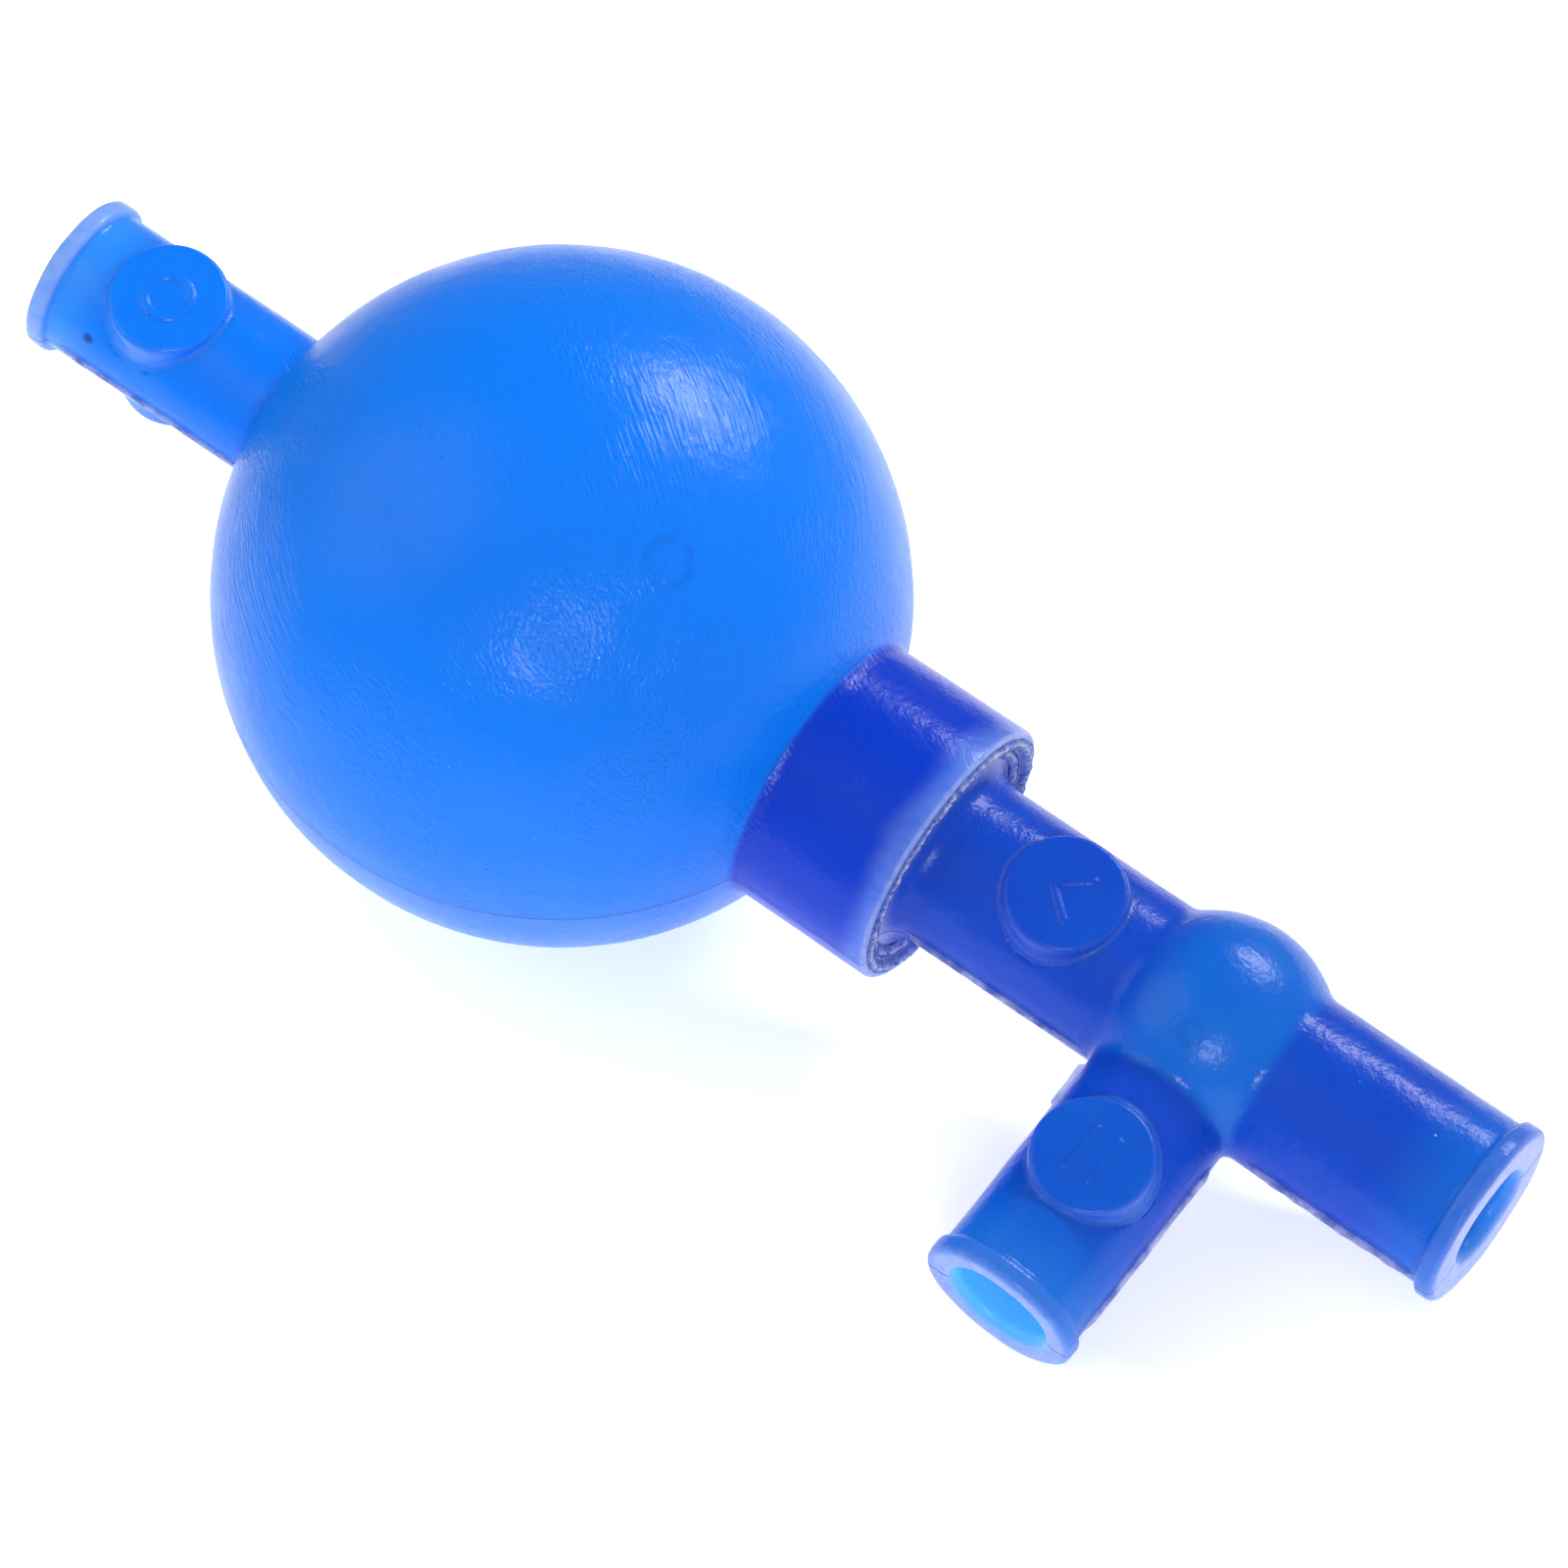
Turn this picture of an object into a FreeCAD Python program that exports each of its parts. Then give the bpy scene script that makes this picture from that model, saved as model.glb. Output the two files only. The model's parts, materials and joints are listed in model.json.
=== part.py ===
import FreeCAD, Part
import math
import os

# Three-valve rubber pipette filler: a squeeze ball with an air-outlet tube (A), and a
# T-piece plugged into its collar that carries the suction valve (S), the pipette socket (P)
# and the side branch with the release valve (E). Each valve is a glass ball gripped in the
# bore, and opens when the two pads either side of it are pinched.
#
# The bulb and the T-piece are one moulding each. Both are parted at their creases into plain
# zones, so that each zone has its own node: ball, collar and air-outlet tube for the bulb, and
# suction stem, junction, release tube and pipette tube for the T-piece. The pads and the wall
# of the ball that a thumb presses are parted off too, because they move.
#
# The pieces are modelled lying flat: origin at the ball's centre, +X along the tubes to the
# pipette socket, E branch towards -Y, +Z normal to the mould's parting plane. At the end they
# are set down on a table, resting on the ball and on the rims of P and E.

# ---- driving dimensions, mm -------------------------------------------------------------
BALL_R = 30.0
BALL_WALL = 2.5

A_TUBE_R = 6.62
A_END_X = -53.0
A_RIM_R = 7.25
A_MOUTH_R = 4.2
A_MOUTH_DEPTH = 4.5
A_VALVE_X = -42.2

COLLAR_R = 12.3
COLLAR_END_X = 41.1
COLLAR_BORE_R = 10.4

PLUG_START_X = 27.0
PLUG_END_X = 40.3
STEM_R = 7.75
STEM_FLARE = 1.6
S_VALVE_X = 53.0

JUNCTION_X = 68.4
JUNCTION_R = 10.3
JUNCTION_HOLLOW_R = 6.0

P_TUBE_R = 7.87
P_END_X = 96.3
P_RIM_R = 8.45
P_SOCKET_R = 4.15
P_SOCKET_DEPTH = 18.0

E_TUBE_R = 6.82
E_END_Y = -30.6
E_RIM_R = 7.3
E_MOUTH_R = 4.4
E_MOUTH_DEPTH = 6.0
E_VALVE_Y = -17.4

RIM_LENGTH = 1.8            # band round each tube's end
RIM_ROUND = 0.45
MOUTH_CHAMFER = 0.6
AIRWAY_R = 3.2              # bore that carries the air from valve to valve
GLASS_R = 4.0               # glass ball, held by a pocket of its own size

PAD_R = 5.3
PAD_RISE = 0.5              # how far a pad stands above the tube's crown
PAD_ROUND = 0.7
PAD_SKIN = 1.0              # thickness of a pad at its crown
PAD_TRAVEL = 1.5            # how far a thumb pinches it in
SLIDE_GAP = 0.08            # running clearance round everything that travels

MARK_RISE = 0.2             # height of the raised symbol on each pad
MARK_LINE = 0.55
MARK_R = 2.2
CHEVRON_ARM = 1.4 * MARK_R

SQUEEZE_R = 21.2            # rim of the part of the ball that a thumb presses in
BOND_RISE = 0.5             # how far the bead of glue stands out of the collar
BOND_LAP = 1.6              # how far it spreads over the collar's edge
BOND_SHOULDER = 0.4         # its crest lies this far outside the collar's bore
BOND_TOE = 0.3

COLLAR_FILLET = 1.5

# Where the zones of the mouldings meet, on the creases between ball and tubes.
CREASE_STEP = 0.4
COLLAR_ROOT_X = math.sqrt(BALL_R ** 2 - COLLAR_R ** 2)
A_ROOT_X = -math.sqrt(BALL_R ** 2 - A_TUBE_R ** 2)
STEM_ROOT_X = JUNCTION_X - math.sqrt(JUNCTION_R ** 2 - STEM_R ** 2)
P_ROOT_X = JUNCTION_X + E_TUBE_R + CREASE_STEP
E_ROOT_Y = -P_TUBE_R - CREASE_STEP

WIDE = 2 * BALL_R

O = FreeCAD.Vector(0, 0, 0)
X = FreeCAD.Vector(1, 0, 0)
Y = FreeCAD.Vector(0, 1, 0)
Z = FreeCAD.Vector(0, 0, 1)


# ---- small solids -----------------------------------------------------------------------
def along_x(radius, start, end):
    """Cylinder on the X axis from start to end."""
    return Part.makeCylinder(radius, end - start, X * start, X)


def along_branch(radius, start, end):
    """Cylinder on the E branch's axis from Y = start to Y = end, end being the lower."""
    return Part.makeCylinder(radius, start - end, X * JUNCTION_X + Y * start, -Y)


def slab(start, end):
    """Everything within WIDE of the X axis from X = start to X = end."""
    return Part.makeBox(end - start, 2 * WIDE, 2 * WIDE, FreeCAD.Vector(start, -WIDE, -WIDE))


def at(shape, place):
    moved = shape.copy()
    moved.translate(place)
    return moved


def mouth(radius, depth, end, inward):
    """Straight bore with a chamfered lip, cut from the end of a tube along inward."""
    lip = Part.makeCone(radius + MOUTH_CHAMFER, radius, MOUTH_CHAMFER, end, inward)
    return Part.makeCylinder(radius, depth, end, inward).fuse(lip)


def round_edges(shape, radius, keep):
    """Fillet the circular edges that keep() picks."""
    real = [edge for edge in shape.Edges if not edge.Degenerated]
    circles = [edge for edge in real if isinstance(edge.Curve, Part.Circle) and keep(edge.Curve)]
    return shape.makeFillet(radius, circles)


def rim(rim_r, end, inward):
    """Raised band round a tube's end, with rounded edges."""
    band = Part.makeCylinder(rim_r, RIM_LENGTH, end, inward)
    return round_edges(band, RIM_ROUND, lambda circle: True)


# ---- valve pads -------------------------------------------------------------------------
def pad_well(tube_r):
    """Room for a pad and its travel, over a core that keeps the glass ball's pocket."""
    under_r = tube_r + PAD_RISE - PAD_SKIN
    room = Part.makeCylinder(PAD_R + SLIDE_GAP, tube_r + PAD_RISE)
    core = Part.makeCylinder(under_r - SLIDE_GAP, 4 * PAD_R, FreeCAD.Vector(-2 * PAD_R, 0, -PAD_TRAVEL), X)
    below = Part.makeBox(4 * PAD_R, 4 * PAD_R, tube_r, FreeCAD.Vector(-2 * PAD_R, -2 * PAD_R, -tube_r))
    return room.cut(core).cut(below)


def pad(tube_r, mark):
    """One pad over a tube that runs along X: a round boss, hollowed to the tube's curve."""
    top = tube_r + PAD_RISE
    boss = Part.makeCylinder(PAD_R, top)
    boss = round_edges(boss, PAD_ROUND, lambda circle: circle.Center.z > top / 2)
    hollow = Part.makeCylinder(top - PAD_SKIN, 4 * PAD_R, X * (-2 * PAD_R), X)
    return boss.cut(hollow).fuse(at(mark, Z * top)).removeSplitter()


def ring_mark():
    """Raised ring: the air-outlet valve."""
    outer = Part.makeCylinder(MARK_R, 2 * MARK_RISE, -Z * MARK_RISE)
    inner = Part.makeCylinder(MARK_R - MARK_LINE, 2 * MARK_RISE, -Z * MARK_RISE)
    return outer.cut(inner)


def bar(length, angle, end):
    """Raised line of the given length, turned by angle, from the point end."""
    line = Part.makeBox(length, MARK_LINE, 2 * MARK_RISE, FreeCAD.Vector(0, -MARK_LINE / 2, -MARK_RISE))
    line.rotate(O, Z, angle)
    return at(line, end)


def chevron_mark():
    """Raised chevron that points to the ball: the suction valve."""
    tip = X * (-MARK_R / 2)
    return bar(CHEVRON_ARM, 45, tip).fuse(bar(CHEVRON_ARM, -45, tip))


def double_bar_mark():
    """Two raised bars across the branch: the release valve."""
    start = FreeCAD.Vector(-MARK_R, MARK_R / 2, 0)
    return Part.makeCompound([bar(2 * MARK_R, 0, start), bar(2 * MARK_R, 0, start - Y * MARK_R)])


def pad_pair(tube_r, mark, centre, tube_angle):
    """Front and rear pad of one valve; the rear one is the front one turned over."""
    front = pad(tube_r, mark)
    rear = front.copy()
    rear.rotate(O, X, 180)
    for piece in (front, rear):
        piece.rotate(O, Z, tube_angle)
        piece.translate(centre)
    return front, rear


def pad_wells(tube_r, centre, tube_angle):
    front = pad_well(tube_r)
    rear = front.copy()
    rear.rotate(O, X, 180)
    wells = front.fuse(rear)
    wells.rotate(O, Z, tube_angle)
    wells.translate(centre)
    return wells


# ---- the bulb ---------------------------------------------------------------------------
A_CENTRE = X * A_VALVE_X
S_CENTRE = X * S_VALVE_X
E_CENTRE = FreeCAD.Vector(JUNCTION_X, E_VALVE_Y, 0)


def whole_bulb():
    """Ball, A tube and collar as one moulding, before the squeezed wall is parted off."""
    ball = Part.makeSphere(BALL_R)
    outside = ball.fuse(along_x(A_TUBE_R, A_END_X, 0)).fuse(along_x(COLLAR_R, 0, COLLAR_END_X))
    outside = outside.removeSplitter()
    root_of_collar = lambda c: abs(c.Radius - COLLAR_R) < 0.01 and 0 < c.Center.x < BALL_R
    outside = round_edges(outside, COLLAR_FILLET, root_of_collar)
    outside = outside.fuse(rim(A_RIM_R, X * A_END_X, X))
    hollow = Part.makeSphere(BALL_R - BALL_WALL)
    hollow = hollow.fuse(along_x(COLLAR_BORE_R, 0, COLLAR_END_X + 1))
    hollow = hollow.fuse(along_x(AIRWAY_R, A_END_X, 0))
    hollow = hollow.fuse(mouth(A_MOUTH_R, A_MOUTH_DEPTH, X * A_END_X, X))
    hollow = hollow.fuse(Part.makeSphere(GLASS_R, A_CENTRE))
    return outside.cut(hollow).cut(pad_wells(A_TUBE_R, A_CENTRE, 0))


def bulb_zones():
    """The bulb parted into ball, collar and air-outlet tube, the ball open where a thumb presses."""
    bulb = whole_bulb()
    crown = Part.makeCylinder(SQUEEZE_R + SLIDE_GAP, 2 * BALL_R)
    return {
        "bulb_body": bulb.common(slab(A_ROOT_X, COLLAR_ROOT_X)).cut(crown),
        "bulb_collar": bulb.common(slab(COLLAR_ROOT_X, COLLAR_END_X)),
        "air_outlet_tube": bulb.common(slab(A_END_X, A_ROOT_X)),
    }


def bulb_front_wall():
    """The part of the ball's wall that a thumb presses in."""
    shell = Part.makeSphere(BALL_R).cut(Part.makeSphere(BALL_R - BALL_WALL))
    return shell.common(Part.makeCylinder(SQUEEZE_R, 2 * BALL_R))


# ---- the T-piece ------------------------------------------------------------------------
def whole_tee():
    """Plug, stem, junction, release tube and pipette tube as one moulding."""
    stem = along_x(STEM_R, PLUG_START_X, JUNCTION_X).fuse(along_x(COLLAR_BORE_R, PLUG_START_X, PLUG_END_X))
    root_of_stem = lambda c: abs(c.Radius - STEM_R) < 0.01 and abs(c.Center.x - PLUG_END_X) < 0.01
    stem = round_edges(stem, STEM_FLARE, root_of_stem)
    junction = Part.makeSphere(JUNCTION_R, X * JUNCTION_X)
    socket = along_x(P_TUBE_R, JUNCTION_X, P_END_X)
    branch = along_branch(E_TUBE_R, 0, E_END_Y)
    outside = stem.fuse(junction).fuse(socket).fuse(branch)
    outside = outside.fuse(rim(P_RIM_R, X * P_END_X, -X))
    branch_end = FreeCAD.Vector(JUNCTION_X, E_END_Y, 0)
    outside = outside.fuse(rim(E_RIM_R, branch_end, Y))

    airway = along_x(AIRWAY_R, PLUG_START_X - 1, P_END_X).fuse(along_branch(AIRWAY_R, 0, E_END_Y))
    airway = airway.fuse(Part.makeSphere(JUNCTION_HOLLOW_R, X * JUNCTION_X))
    airway = airway.fuse(mouth(P_SOCKET_R, P_SOCKET_DEPTH, X * P_END_X, -X))
    airway = airway.fuse(mouth(E_MOUTH_R, E_MOUTH_DEPTH, branch_end, Y))
    for centre in (S_CENTRE, E_CENTRE):
        airway = airway.fuse(Part.makeSphere(GLASS_R, centre))
    wells = pad_wells(STEM_R, S_CENTRE, 0).fuse(pad_wells(E_TUBE_R, E_CENTRE, 90))
    return outside.cut(airway).cut(wells)


def tee_zones():
    """The T-piece parted into suction stem, junction, release tube and pipette tube."""
    tee = whole_tee()
    beside_branch = slab(JUNCTION_X - E_TUBE_R - 1, JUNCTION_X + E_TUBE_R + 1)
    beside_branch.translate(Y * (E_ROOT_Y - WIDE))
    in_line = tee.cut(beside_branch)
    return {
        "release_tube": tee.common(beside_branch),
        "suction_stem": in_line.common(slab(PLUG_START_X, STEM_ROOT_X)),
        "junction_bulb": in_line.common(slab(STEM_ROOT_X, P_ROOT_X)),
        "pipette_tube": in_line.common(slab(P_ROOT_X, P_END_X)),
    }


def adhesive_bead():
    """Ring of glue that fills the recess in the collar's mouth and spreads over its edge."""
    inner = STEM_R + STEM_FLARE
    outer = COLLAR_BORE_R + BOND_LAP
    crest = COLLAR_END_X + BOND_RISE
    section = [(PLUG_END_X, inner), (PLUG_END_X, COLLAR_BORE_R), (COLLAR_END_X, COLLAR_BORE_R),
               (COLLAR_END_X, outer), (crest, COLLAR_BORE_R + BOND_SHOULDER),
               (COLLAR_END_X, inner + BOND_TOE)]
    corners = [FreeCAD.Vector(x, r, 0) for x, r in section]
    face = Part.Face(Part.makePolygon(corners + corners[:1]))
    return face.revolve(O, X, 360)


# ---- setting down on the table ----------------------------------------------------------
def dip(arm, ring_r, drop):
    """Angle below level at which a ring on the end of an arm comes down by drop."""
    return math.asin(drop / math.hypot(arm, ring_r)) - math.atan2(ring_r, arm)


P_ARM = P_END_X - RIM_ROUND
P_RING = P_RIM_R - RIM_ROUND
E_ARM = -E_END_Y - RIM_ROUND
E_RING = E_RIM_R - RIM_ROUND
A_ARM = -A_END_X - RIM_ROUND
A_RING = A_RIM_R - RIM_ROUND

PITCH = dip(P_ARM, P_RING, BALL_R - RIM_ROUND)
BRANCH_DIP = dip(E_ARM, E_RING, BALL_R - JUNCTION_X * math.sin(PITCH) - RIM_ROUND)
ROLL = math.asin(math.sin(BRANCH_DIP) / math.cos(PITCH))

HIGH_X = P_ARM * math.cos(PITCH) + P_RING * math.sin(PITCH) + RIM_ROUND
LOW_X = -(A_ARM * math.cos(PITCH) + A_RING * math.sin(PITCH) + RIM_ROUND)
LOW_Y = -(E_ARM * math.cos(ROLL) + E_RING * math.sin(ROLL) + RIM_ROUND)

REST = FreeCAD.Placement(
    FreeCAD.Vector(-(HIGH_X + LOW_X) / 2, -(BALL_R + LOW_Y) / 2, BALL_R),
    FreeCAD.Rotation(Y, math.degrees(PITCH)) * FreeCAD.Rotation(X, math.degrees(ROLL)))


def main():
    a_front, a_rear = pad_pair(A_TUBE_R, ring_mark(), A_CENTRE, 0)
    s_front, s_rear = pad_pair(STEM_R, chevron_mark(), S_CENTRE, 0)
    e_front, e_rear = pad_pair(E_TUBE_R, double_bar_mark(), E_CENTRE, 90)
    nodes = {
        **bulb_zones(),
        **tee_zones(),
        "bulb_front_wall": bulb_front_wall(),
        "adhesive_bead": adhesive_bead(),
        "a_valve_ball": Part.makeSphere(GLASS_R, A_CENTRE),
        "s_valve_ball": Part.makeSphere(GLASS_R, S_CENTRE),
        "e_valve_ball": Part.makeSphere(GLASS_R, E_CENTRE),
        "a_front_pad": a_front,
        "a_rear_pad": a_rear,
        "s_front_pad": s_front,
        "s_rear_pad": s_rear,
        "e_front_pad": e_front,
        "e_rear_pad": e_rear,
    }
    os.makedirs("parts", exist_ok=True)
    for name, shape in nodes.items():
        shape.Placement = REST.multiply(shape.Placement)
        shape.exportStep("parts/" + name + ".step")
        print(name, shape.ShapeType, "solids", len(shape.Solids), "valid", shape.isValid(),
              "volume %.0f mm3" % shape.Volume)


main()
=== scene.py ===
import json
import math

import bpy
import numpy as np
from mathutils import Matrix, Vector


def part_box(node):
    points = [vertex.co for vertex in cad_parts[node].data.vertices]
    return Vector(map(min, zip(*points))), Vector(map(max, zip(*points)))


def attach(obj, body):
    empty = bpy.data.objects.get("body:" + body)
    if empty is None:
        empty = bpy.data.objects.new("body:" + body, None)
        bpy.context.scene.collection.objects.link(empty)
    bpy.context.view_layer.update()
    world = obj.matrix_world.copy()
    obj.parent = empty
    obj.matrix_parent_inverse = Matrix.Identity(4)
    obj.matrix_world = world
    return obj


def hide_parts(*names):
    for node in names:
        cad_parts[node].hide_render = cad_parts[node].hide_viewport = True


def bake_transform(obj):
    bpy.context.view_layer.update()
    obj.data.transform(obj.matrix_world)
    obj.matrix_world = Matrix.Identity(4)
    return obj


# Looks of a three-valve silicone pipette filler. Meshes are made in the filler's own frame, in
# millimetres: origin at the ball's centre, +X along the tubes to the pipette socket, side branch
# towards -Y, +Z out of the front of the mould's parting plane. They are then placed on the
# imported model, in metres.

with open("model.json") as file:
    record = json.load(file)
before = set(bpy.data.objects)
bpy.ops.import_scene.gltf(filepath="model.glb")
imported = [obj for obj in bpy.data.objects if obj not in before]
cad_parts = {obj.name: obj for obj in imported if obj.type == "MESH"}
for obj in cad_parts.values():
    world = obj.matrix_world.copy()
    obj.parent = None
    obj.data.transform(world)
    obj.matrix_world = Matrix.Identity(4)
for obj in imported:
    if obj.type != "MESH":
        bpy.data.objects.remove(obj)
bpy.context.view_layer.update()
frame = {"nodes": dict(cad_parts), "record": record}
FILLER = "filler"
MM = 0.001

# ---- sizes, mm ---------------------------------------------------------------------------
BALL_R = 30.0
BALL_WALL = 2.5
A_TUBE_R = 6.62
A_END = -53.0
A_RIM_R = 7.25
A_MOUTH_R = 4.2
A_VALVE = -42.2
COLLAR_R = 12.3
COLLAR_ROOT = 27.36
COLLAR_END = 41.1
COLLAR_BORE_R = 10.4
PLUG_START = 27.0
PLUG_END = 40.3
STEM_R = 7.75
S_VALVE = 53.0
JUNCTION_X = 68.4
JUNCTION_R = 10.3
P_TUBE_R = 7.87
P_END = 96.3
P_RIM_R = 8.45
P_SOCKET_R = 4.15
E_TUBE_R = 6.82
E_END = 30.6
E_RIM_R = 7.3
E_MOUTH_R = 4.4
E_VALVE = 17.4
RIM_LENGTH = 1.8
RIM_ROUND = 0.45
P_BORE_DEPTH = 18.0           # how far in the wide bore of each open end goes
E_BORE_DEPTH = 6.0
A_BORE_DEPTH = 4.5
MOUTH_FLARE = 0.5             # how much wider such a bore is at its lip
BORE_ROUND = 0.45             # rounding of the edges where a bore opens
AIRWAY_R = 3.2
HUB_HOLLOW_R = 6.0
POCKET_R = 4.02               # pocket round a glass ball
PAD_R = 5.3
PAD_RISE = 0.5
PAD_SKIN = 1.0
PAD_TRAVEL = 1.5
PAD_CUT_R = PAD_R + 0.28      # the pad's piece ends just outside the fillet at its foot
PAD_TOP_ROUND = 0.6
PAD_FOOT_ROUND = 0.24
PAD_LIFT = 0.015              # how far a pad's skin lies over the tube's
PAD_GRIP = 0.03               # how far a pad's side goes into its well's
PAD_LIP = 0.15                # a thin lip at the skin, which covers the joint to the tube
MARK_RISE = 0.2
PARTING_Z = -0.5

# Cells of the meshing grids. How far a grid reaches past its piece differs from side to side, so
# that no row of cells lies right along a crease.
TEE_CELL = 0.325
A_TUBE_CELL = 0.28
PAD_CELL = 0.17


# ---- the filler's own frame in the row frame ------------------------------------------------
def middle(node):
    low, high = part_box(node)
    return (low + high) / 2


mounts = {mount["name"]: mount for mount in frame["record"]["mounts"]}
ALONG = Vector(mounts["pipette_socket"]["axis"]).normalized()
ACROSS = -Vector(mounts["release_port"]["axis"]).normalized()
OUT = ALONG.cross(ACROSS)
CENTRE = middle("s_valve_ball") - ALONG * S_VALVE * MM
TURN = Matrix((ALONG, ACROSS, OUT)).transposed()


def to_row(points):
    """Points of the filler's frame, mm, as points of the row frame, m."""
    return np.asarray(points) * MM @ np.array(TURN).T + np.array(CENTRE)


def row_point(x, y, z):
    return Vector(to_row([[x, y, z]])[0])


# ---- meshes --------------------------------------------------------------------------------
def make_object(name, points, faces, **values):
    """Object with smooth faces; each value is a number per point that the materials read."""
    mesh = bpy.data.meshes.new(name)
    points = np.asarray(points, float)
    faces = np.asarray(faces, np.int32)
    sides = faces.shape[1]
    mesh.vertices.add(len(points))
    mesh.vertices.foreach_set("co", to_row(points).astype(np.float32).ravel())
    mesh.loops.add(faces.size)
    mesh.loops.foreach_set("vertex_index", faces.ravel())
    mesh.polygons.add(len(faces))
    mesh.polygons.foreach_set("loop_start", np.arange(0, faces.size, sides, dtype=np.int32))
    mesh.polygons.foreach_set("use_smooth", np.ones(len(faces), bool))
    place = mesh.attributes.new("place", "FLOAT_VECTOR", "POINT")
    place.data.foreach_set("vector", points.astype(np.float32).ravel())
    for key, value in values.items():
        layer = mesh.attributes.new(key, "FLOAT", "POINT")
        layer.data.foreach_set("value", np.asarray(value, np.float32))
    mesh.update(calc_edges=True)
    mesh.validate()
    mesh.set_sharp_from_angle(angle=math.radians(55))
    made = bpy.data.objects.new(name, mesh)
    bpy.context.scene.collection.objects.link(made)
    return made


def smooth_min(a, b, k):
    """Union of two distances with a fillet about k wide."""
    h = np.clip(0.5 + 0.5 * (b - a) / k, 0, 1)
    return b + (a - b) * h - k * h * (1 - h)


def smooth_max(a, b, k):
    return -smooth_min(-a, -b, k)


def ramp(value, start, end):
    """0 before start, 1 after end, smooth between."""
    t = np.clip((value - start) / (end - start), 0, 1)
    return t * t * (3 - 2 * t)


def ripple(p, scale, seed=0.0):
    """Slow irregular wave, about -1 to 1, with bumps about scale mm across."""
    x, y, z = (p[:, i] * (2 * math.pi / scale) for i in range(3))
    first = np.sin(x + 1.3 * np.sin(0.7 * y + seed) + seed)
    second = np.sin(1.1 * y + 1.7 * np.sin(0.6 * z - x + seed))
    third = np.sin(0.9 * z + 1.1 * np.sin(0.8 * x + 2 * seed))
    return (first + second + third) / 3


def slope(field, points):
    """Gradient of the field at each point."""
    nudge = 0.02
    rises = [field(points + nudge * e) - field(points - nudge * e) for e in np.eye(3)]
    return np.stack(rises, 1) / (2 * nudge)


def sharpen(points, skin, cut, cell):
    """Move the points near the edge where two fields cross onto that edge. Points that would go
    far stay, because they belong to the faces on either side."""
    near = (np.abs(skin(points)) < 0.75 * cell) & (np.abs(cut(points)) < 0.75 * cell)
    edge = points[near]
    for _ in range(8):
        error = np.stack([skin(edge), cut(edge)], 1)
        lean = np.stack([slope(skin, edge), slope(cut, edge)], 1)
        pair = lean @ lean.transpose(0, 2, 1) + 1e-3 * np.eye(2)
        edge = edge - (lean.transpose(0, 2, 1) @ np.linalg.solve(pair, error[:, :, None]))[:, :, 0]
    moved = np.linalg.norm(edge - points[near], axis=1) < 0.85 * cell
    points[np.flatnonzero(near)[moved]] = edge[moved]


def surface(field, low, high, cell, creases=()):
    """Closed quad mesh of field(points) = 0, by surface nets: one point in each grid cell that the
    surface crosses, at the mean of its crossings, and one quad round each grid edge that it
    crosses. The points are then moved onto the surface, and onto its creases."""
    counts = [int(math.ceil((b - a) / cell)) + 1 for a, b in zip(low, high)]
    axes = [a + cell * np.arange(n) for a, n in zip(low, counts)]
    values = np.empty(counts, np.float32)
    yz = np.stack(np.meshgrid(axes[1], axes[2], indexing="ij"), -1).reshape(-1, 2)
    step = max(1, 400000 // len(yz))
    for i in range(0, counts[0], step):
        xs = axes[0][i:i + step]
        block = np.concatenate([np.repeat(xs, len(yz))[:, None], np.tile(yz, (len(xs), 1))], 1)
        values[i:i + step] = field(block).reshape(len(xs), counts[1], counts[2])
    inside = values < 0
    cells = [n - 1 for n in counts]
    total = np.zeros((int(np.prod(cells)), 3))
    hits = np.zeros(int(np.prod(cells)))
    quads = []
    for axis in range(3):
        first = [slice(0, -1) if a == axis else slice(1, -1) for a in range(3)]
        second = [slice(1, None) if a == axis else slice(1, -1) for a in range(3)]
        crossing = inside[tuple(first)] != inside[tuple(second)]
        at = np.argwhere(crossing)
        f0 = values[tuple(first)][crossing].astype(float)
        f1 = values[tuple(second)][crossing].astype(float)
        u, v = [a for a in range(3) if a != axis]
        at[:, u] += 1
        at[:, v] += 1
        point = at.astype(float)
        point[:, axis] += f0 / (f0 - f1)
        corners = []
        for du, dv in ((1, 1), (0, 1), (0, 0), (1, 0)):
            home = at.copy()
            home[:, u] -= du
            home[:, v] -= dv
            flat = np.ravel_multi_index(home.T, cells)
            corners.append(flat)
            hits += np.bincount(flat, minlength=len(hits))
            for i in range(3):
                total[:, i] += np.bincount(flat, point[:, i], minlength=len(hits))
        quad = np.stack(corners, 1)
        turned = (f0 > 0) if axis != 1 else (f0 < 0)
        quad[turned] = quad[turned][:, ::-1]
        quads.append(quad)
    used = np.flatnonzero(hits)
    number = np.full(len(hits), -1)
    number[used] = np.arange(len(used))
    points = np.array(low) + cell * total[used] / hits[used, None]
    for _ in range(4):
        lean = slope(field, points)
        move = field(points)[:, None] * lean / np.maximum((lean ** 2).sum(1), 0.25)[:, None]
        length = np.linalg.norm(move, axis=1, keepdims=True)
        points = points - move * np.minimum(1, 0.4 * cell / np.maximum(length, 1e-9))
    for skin, cut in creases:
        sharpen(points, skin, cut, cell)
    return points, number[np.concatenate(quads)]


def lathe(profile, angles):
    """Closed mesh of a closed profile of (x, r), turned about X. The angles are in radians from +Y."""
    profile = np.asarray(profile)
    x, r = profile[:, 0][:, None], profile[:, 1][:, None]
    points = np.stack([x + 0 * angles, r * np.cos(angles), r * np.sin(angles)], -1).reshape(-1, 3)
    n, m = len(profile), len(angles)
    i, j = np.meshgrid(np.arange(n), np.arange(m), indexing="ij")
    i2, j2 = (i + 1) % n, (j + 1) % m
    return points, np.stack([i * m + j, i * m + j2, i2 * m + j2, i2 * m + j], -1).reshape(-1, 4)


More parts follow.
